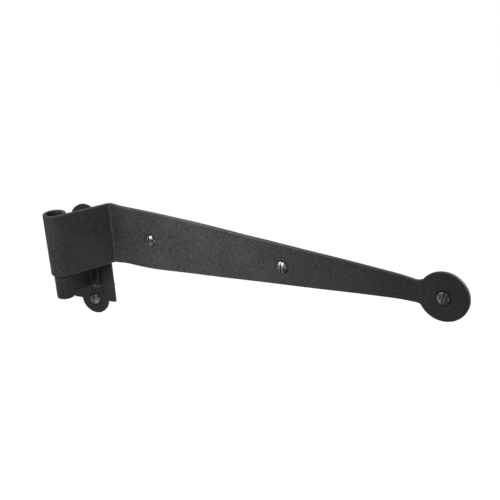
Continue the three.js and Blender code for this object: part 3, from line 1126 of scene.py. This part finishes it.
def worn_black_screw():
    """Blackened screw steel, rubbed bright: a metal, darker where the black has stayed.

    The patches are soft and a few mm across, and brightest beside the slot.
    """
    patch_size = 7 * MM
    scratch_size = 0.5 * MM
    scratch_depth = 0.006 * MM
    slot_wear = 1.2 * MM  # how far the driver's wear reaches from the slot
    wear_from = -0.1 * MM  # the wear sets in between these two levels at the head's rim
    wear_full = 0.15 * MM
    material = bpy.data.materials.new("blackened screw steel, rubbed bright")
    material.use_nodes = True
    tree = material.node_tree
    tree.nodes.clear()
    place = add_node(tree, "ShaderNodeTexCoord").outputs["Object"]
    on_screw = add_node(tree, "ShaderNodeAttribute", attribute_name="on_screw").outputs["Vector"]
    axes = add_node(tree, "ShaderNodeSeparateXYZ", {0: on_screw}).outputs
    across = add_node(tree, "ShaderNodeMath", {0: axes["X"]}, operation="ABSOLUTE").outputs[0]
    by_slot = add_node(
        tree,
        "ShaderNodeMapRange",
        {
            "Value": across,
            "From Min": SLOT_WIDTH / 2,
            "From Max": SLOT_WIDTH / 2 + slot_wear,
            "To Min": 0.14,
            "To Max": 0.0,
        },
    ).outputs["Result"]
    patches = add_node(
        tree,
        "ShaderNodeTexNoise",
        {"Vector": place, "Scale": 1 / patch_size, "Detail": 2.0, "Roughness": 0.5},
    ).outputs["Fac"]
    rubbed = add_node(
        tree, "ShaderNodeMath", {0: patches, 1: by_slot}, operation="ADD"
    ).outputs[0]
    on_head = add_node(
        tree,
        "ShaderNodeMapRange",
        {"Value": axes["Z"], "From Min": wear_from, "From Max": wear_full},
    ).outputs["Result"]
    bright = add_node(
        tree, "ShaderNodeMapRange", {"Value": rubbed, "From Min": 0.4, "From Max": 0.85}
    ).outputs["Result"]
    wear = add_node(
        tree, "ShaderNodeMath", {0: bright, 1: on_head}, operation="MULTIPLY"
    ).outputs[0]
    colour = add_node(
        tree,
        "ShaderNodeMix",
        {0: wear, 6: linear("#2b2b2c"), 7: linear("#7c7b78")},
        data_type="RGBA",
    ).outputs[2]
    matt = add_node(
        tree, "ShaderNodeMapRange", {"Value": wear, "To Min": 0.38, "To Max": 0.33}
    ).outputs["Result"]
    scratches = add_node(
        tree,
        "ShaderNodeTexNoise",
        {"Vector": place, "Scale": 1 / scratch_size, "Detail": 4.0, "Roughness": 0.7},
    ).outputs["Fac"]
    bump = add_node(
        tree, "ShaderNodeBump", {"Height": scratches, "Strength": 0.8, "Distance": scratch_depth}
    ).outputs["Normal"]
    shader = add_node(
        tree,
        "ShaderNodeBsdfPrincipled",
        {"Base Color": colour, "Metallic": 1.0, "Roughness": matt, "Normal": bump},
    )
    add_node(tree, "ShaderNodeOutputMaterial", {"Surface": shader.outputs["BSDF"]})
    return material


screw_steel = worn_black_screw()


def wood_screw(node, yaw, slot_degrees, body):
    """One screw in its hole, its length taken from the CAD screw that it stands for."""
    seat, outward = screw_seat(node, yaw)
    low, high = span(node, outward)
    length = high - low - SCREW_DOME
    cone = (HEAD_R - SHANK_R) / math.tan(COUNTERSINK_ANGLE)
    thread_top = -length * (1 - THREAD_REACH)
    step = THREAD_PITCH / THREAD_STEPS
    profile = [(0, -length)]
    for i in range(1, round((length + thread_top) / step)):
        rise = i * step
        profile.append((SHANK_R * min(1, rise / POINT_LENGTH), rise - length))
    profile += [(SHANK_R, thread_top), (SHANK_R, -cone)]
    profile += [(HEAD_R, -RIM_BELOW), (HEAD_R, RIM_ABOVE)]
    dome_r = (HEAD_R**2 + SCREW_DOME**2) / (2 * SCREW_DOME)
    half = math.asin(HEAD_R / dome_r)
    for i in range(1, DOME_STEPS):
        a = half * (1 - i / DOME_STEPS)
        profile.append((dome_r * math.sin(a), SCREW_DOME - dome_r * (1 - math.cos(a))))
    profile.append((0, SCREW_DOME))
    screw = turn_profile(
        f"{node}_slotted",
        profile,
        head_matrix(seat, yaw, slot_degrees),
        screw_steel,
        facets=48,
        tree=slotted_screw,
        Thread_Pitch=THREAD_PITCH,
        Thread_Depth=THREAD_SHARE,
        Thread_Bottom=-length,
        Thread_Top=thread_top,
        Slot_Size=(SLOT_WIDTH, 3 * HEAD_R, 2 * SLOT_DEPTH),
        Head_Top=SCREW_DOME,
    )
    smooth(screw, 32)
    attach(screw, body)
    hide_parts(node)


for node, slot_degrees in BRACKET_SCREWS.items():
    wood_screw(node, 0, slot_degrees, "bracket")
for node, slot_degrees in STRAP_SCREWS.items():
    wood_screw(node, -open_at_rest, slot_degrees, "strap")

# ---- Studio ----
# A plain pale sweep under the hinge in a white room, with a broad soft light overhead, a small
# one in front of the blade and a faint one behind the round end. The hinge hangs clear of the
# sweep, as it does on its post.

FLOOR_DROP = 0.12
FLOOR_REACH = 30
CAMERA_PLACE = (0.42509, -0.57963, 0.28324)
CAMERA_TURN = math.radians(24.18)
CAMERA_TILT = math.radians(68.05)
CAMERA_ROLL = math.radians(-3.16)
floor_z = cad_box[0][2] - FLOOR_DROP
floor = new_piece(
    "floor",
    [(x * FLOOR_REACH, y * FLOOR_REACH, floor_z) for x, y in ((-1, -1), (1, -1), (1, 1), (-1, 1))],
    [],
    [(0, 1, 2, 3)],
)
paper = bpy.data.materials.new("white paper sweep")
paper.use_nodes = True
paper_shader = paper.node_tree.nodes["Principled BSDF"]
paper_shader.inputs["Base Color"].default_value = linear("#f6f6f5")
paper_shader.inputs["Roughness"].default_value = 0.9
paper_shader.inputs["Specular IOR Level"].default_value = 0.1
floor.data.materials.append(paper)

room = bpy.data.worlds.new("white room")
room.use_nodes = True
room.node_tree.nodes["Background"].inputs["Color"].default_value = linear("#ffffff")
room.node_tree.nodes["Background"].inputs["Strength"].default_value = 0.95
bpy.context.scene.world = room


def add_light(name, kind, place, aim, power, **settings):
    """A light at a place, aimed at a point."""
    light = bpy.data.lights.new(name, kind)
    light.energy = power
    for setting, value in settings.items():
        setattr(light, setting, value)
    lamp = bpy.data.objects.new(name, light)
    turn = (Vector(aim) - Vector(place)).to_track_quat("-Z", "Y")
    lamp.matrix_world = Matrix.Translation(place) @ turn.to_matrix().to_4x4()
    bpy.context.scene.collection.objects.link(lamp)


overhead = {"angle": math.radians(50)}
add_light("overhead", "SUN", (0.15, 0.28, 2), (0, 0, 0), 0.55, **overhead)
in_front = {"size": 0.14, "spread": math.radians(57)}
add_light("in front", "AREA", (0.02, -0.3, 0.17), (0.12, -0.035, 0.03), 0.46, **in_front)
behind_right = {"size": 0.12, "spread": math.radians(35)}
add_light("behind right", "AREA", (0.66, 0.1, 0.28), (0.345, -0.06, 0.03), 0.35, **behind_right)

lens = bpy.data.cameras.new("camera")
lens.lens = 57.6
lens.sensor_width = 36
camera = bpy.data.objects.new("camera", lens)
look = Matrix.Rotation(CAMERA_TURN, 4, "Z") @ Matrix.Rotation(CAMERA_TILT, 4, "X")
roll = Matrix.Rotation(CAMERA_ROLL, 4, "Z")
camera.matrix_world = Matrix.Translation(CAMERA_PLACE) @ look @ roll
bpy.context.scene.collection.objects.link(camera)
bpy.context.scene.camera = camera
bpy.context.scene.view_settings.view_transform = "Standard"
